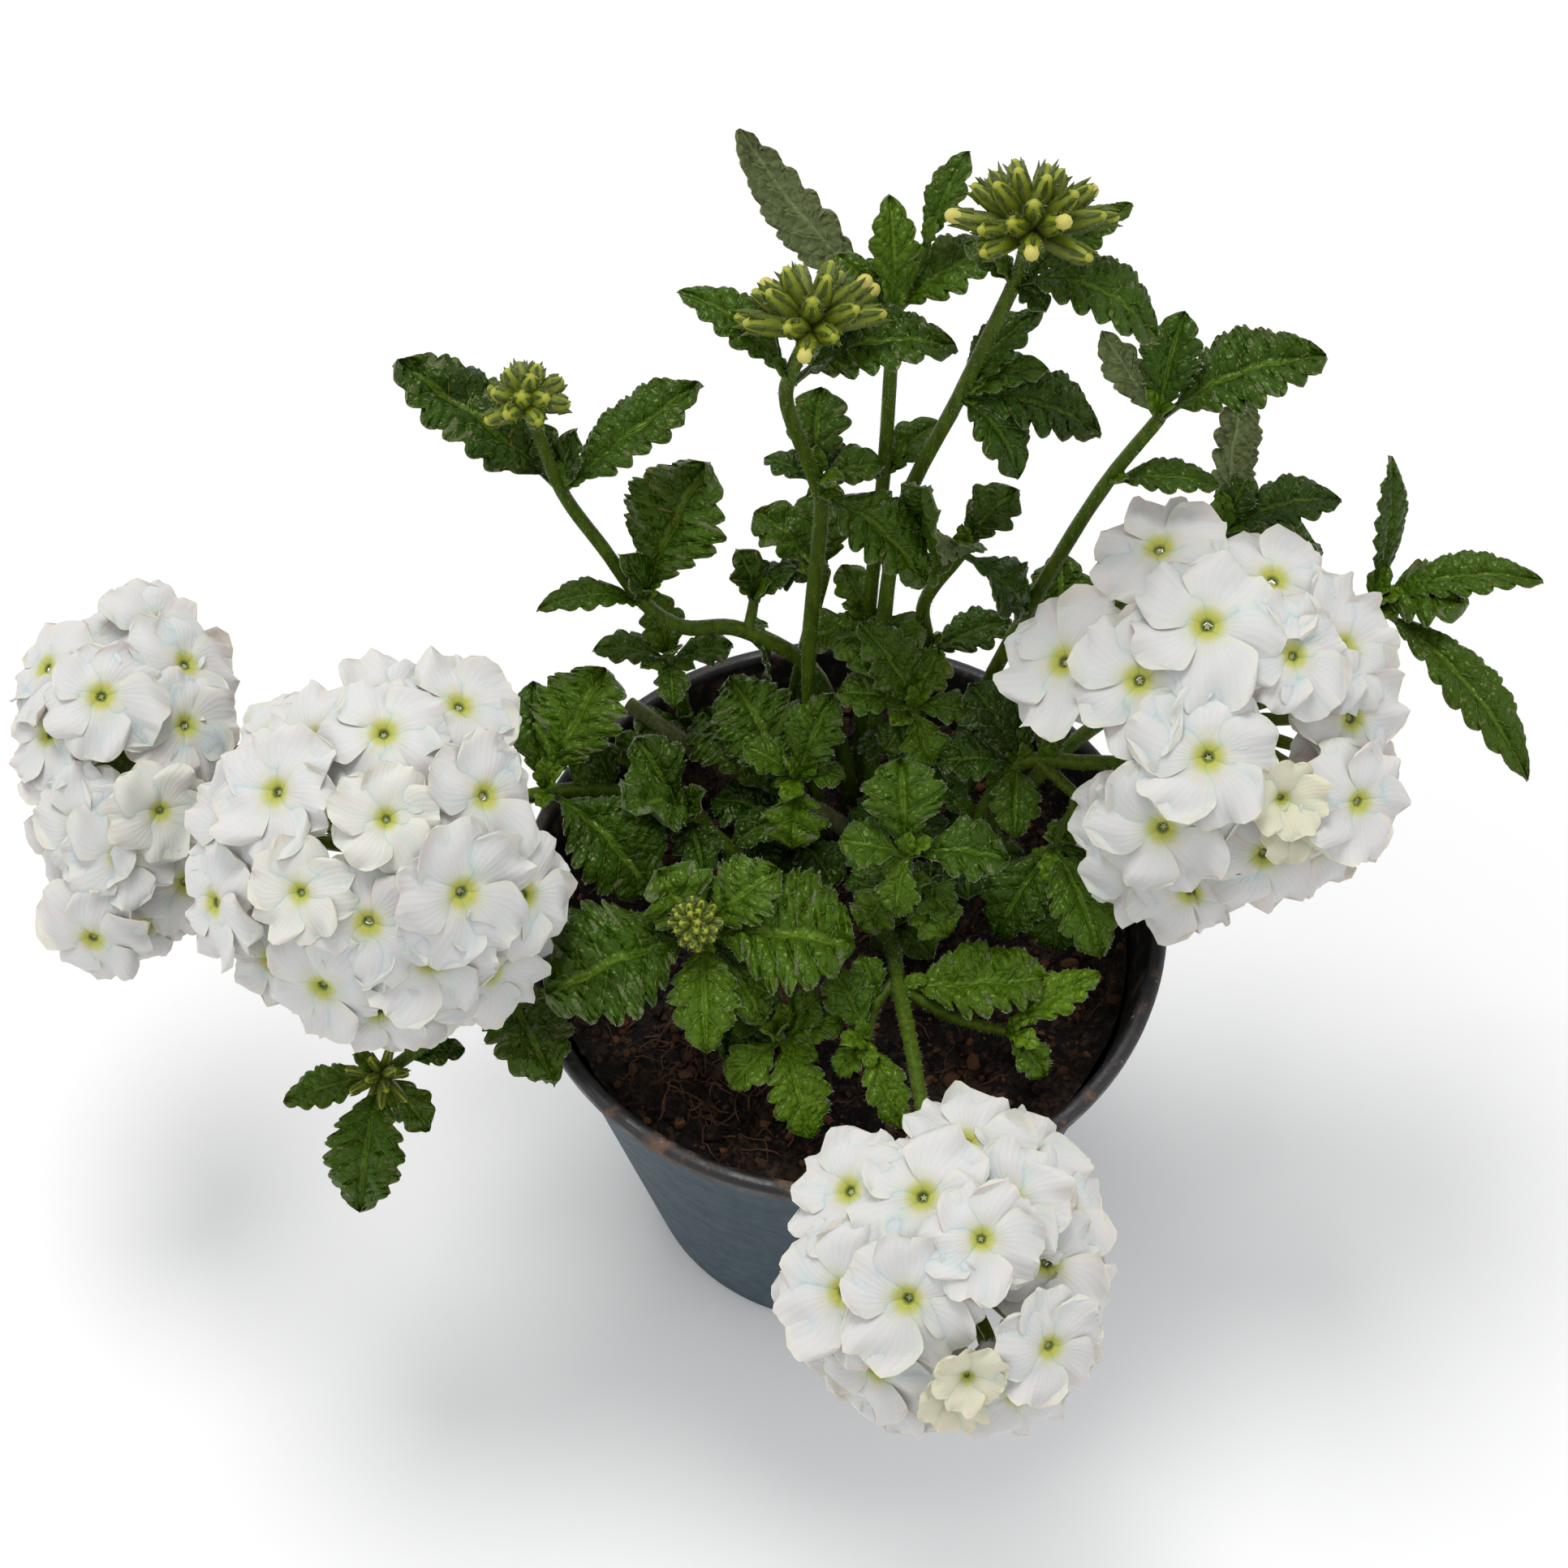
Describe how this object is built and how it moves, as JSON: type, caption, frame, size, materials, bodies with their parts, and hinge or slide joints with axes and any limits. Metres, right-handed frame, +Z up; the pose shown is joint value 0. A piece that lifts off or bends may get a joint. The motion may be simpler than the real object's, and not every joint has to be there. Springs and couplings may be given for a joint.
{
  "type": "potted verbena",
  "caption": "White-flowered garden verbena in a round nursery pot, with open flower heads, bud heads and toothed leaves on leaning and trailing stems.",
  "frame": {"origin": "centre of the flat disc of the pot's base, on the surface that the pot stands on", "axes": "+Z up out of the pot, -Y towards the front flower head and the picture's viewer, +X to that viewer's right"},
  "size_m": [0.2788, 0.1785, 0.2372],
  "materials": {
    "pot_plastic": "matte moulded plastic",
    "soil": "crumbly potting soil",
    "leaf_green": "soft crinkled leaf",
    "old_stem": "dull woody stem",
    "petal_white": "soft petal",
    "bud_green": "soft bud"
  },
  "bodies": {
    "root": {"pot": "pot_plastic", "soil": "soil", "shoot_top_bud": "leaf_green", "shoot_middle_bud": "leaf_green", "shoot_back": "leaf_green", "shoot_upper_left": "leaf_green", "shoot_side_left": "leaf_green", "old_cut_stem": "old_stem", "stem_middle_left": "leaf_green", "stem_far_left": "leaf_green", "stem_drooping": "leaf_green", "stem_front": "leaf_green", "stem_right": "leaf_green", "shoot_right": "leaf_green", "shoot_behind_right": "leaf_green", "shoot_far_right": "leaf_green", "shoot_young_bud": "leaf_green", "shoot_low_front": "leaf_green", "shoot_centre_front": "leaf_green", "shoot_centre": "leaf_green", "shoot_crown": "leaf_green", "shoot_crown_back": "leaf_green", "shoot_crown_left": "leaf_green", "head_front": "petal_white", "head_middle_left": "petal_white", "head_far_left": "petal_white", "head_right": "petal_white", "bud_top": "bud_green", "bud_middle": "bud_green", "bud_left": "bud_green", "bud_young": "bud_green"}
  },
  "joints": []
}
